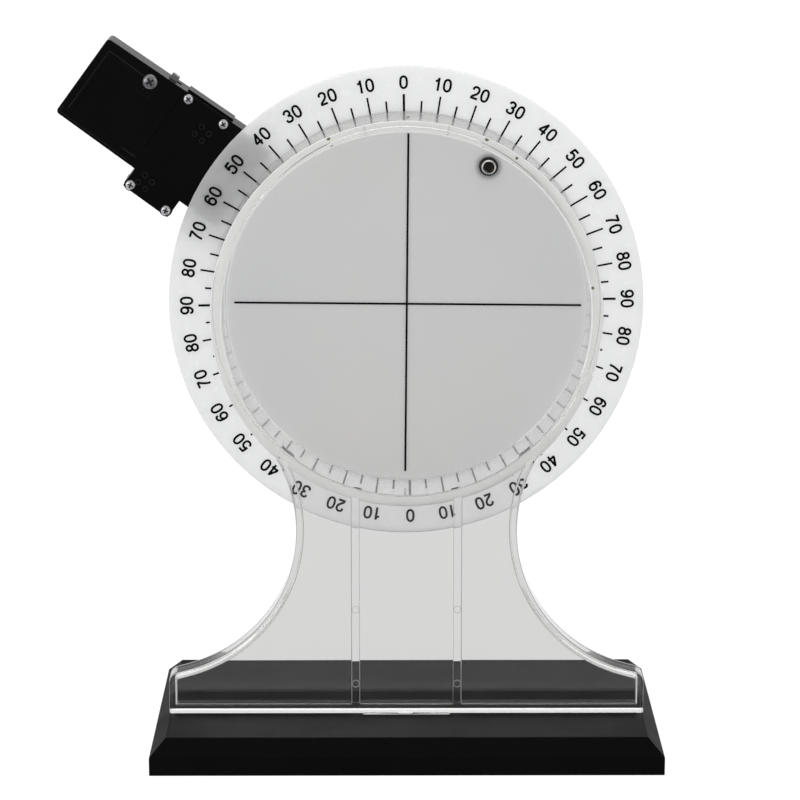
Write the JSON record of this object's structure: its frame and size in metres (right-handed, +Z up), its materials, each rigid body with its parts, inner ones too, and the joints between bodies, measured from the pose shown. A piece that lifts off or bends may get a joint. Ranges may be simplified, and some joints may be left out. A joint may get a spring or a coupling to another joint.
{
  "type": "optical disc demonstrator",
  "caption": "Free-standing graduated optical disc with a clear drum and tank on a plinth, and a laser case that swings round the dial.",
  "frame": {"origin": "middle of the base's underside, on the table", "axes": "+Z up, the dial faces -Y, +X to the right as seen from the front"},
  "size_m": [0.3024, 0.143, 0.3559],
  "materials": {
    "black_abs": "fine satin texture",
    "case_abs": "satin",
    "clear_acrylic": "polished",
    "milky_sheet": "satin",
    "white_sheet": "satin",
    "foam_mat": "matt",
    "bright_steel": "zinc plated",
    "dark_steel": "nickel plated",
    "rubber": "matt",
    "nylon": "satin",
    "brass": "turned",
    "lens_glass": "polished",
    "red_window": "polished",
    "board_green": "satin",
    "cell_wrap": "satin",
    "wire_red": "satin",
    "switch_grey": "satin"
  },
  "bodies": {
    "stand": {"base_plinth": "black_abs", "base_cover": "black_abs", "base_cover_screws": "bright_steel", "base_mat": "foam_mat", "leg_shell": "clear_acrylic", "leg_screws": "bright_steel", "drum_ring": "clear_acrylic", "screen_disc": "milky_sheet", "dial_plate": "white_sheet", "tank_shell": "clear_acrylic", "rear_window": "clear_acrylic", "pivot_hub": "black_abs"},
    "laser_carriage": {"hub_washer": "nylon", "swing_arm": "black_abs", "arm_screws": "bright_steel", "case_rear": "case_abs", "case_cover": "case_abs", "case_screws": "bright_steel", "battery_cover": "case_abs", "battery_cover_screw": "dark_steel", "batteries": "cell_wrap", "battery_contacts": "bright_steel", "laser_module": "brass", "laser_lens": "lens_glass", "module_holder": "black_abs", "exit_window": "red_window", "circuit_board": "board_green", "board_screws": "bright_steel", "lead_wires": "wire_red", "switch_body": "switch_grey"},
    "clamp_knob": {"clamp_knob": "black_abs", "knob_stud": "bright_steel", "clamp_washer": "bright_steel"},
    "filler_plug": {"filler_plug": "dark_steel", "filler_washer": "rubber"},
    "switch": {"switch_slider": "case_abs"}
  },
  "joints": [
    {"name": "laser_swing", "type": "hinge", "parent": "stand", "child": "laser_carriage", "pos_m": [0, 0.05, 0.2234], "axis": [0, 1, 0], "continuous": true},
    {"name": "clamp_turn", "type": "hinge", "parent": "stand", "child": "clamp_knob", "pos_m": [0, 0.06, 0.2234], "axis": [0, 1, 0], "range_deg": [0, 180]},
    {"name": "plug_draw", "type": "slide", "parent": "stand", "child": "filler_plug", "axis": [0, -1, 0], "range_m": [0, 0.03]},
    {"name": "switch_slide", "type": "slide", "parent": "laser_carriage", "child": "switch", "axis": [0.8039, 0, -0.5948], "range_m": [0, 0.0025]}
  ]
}
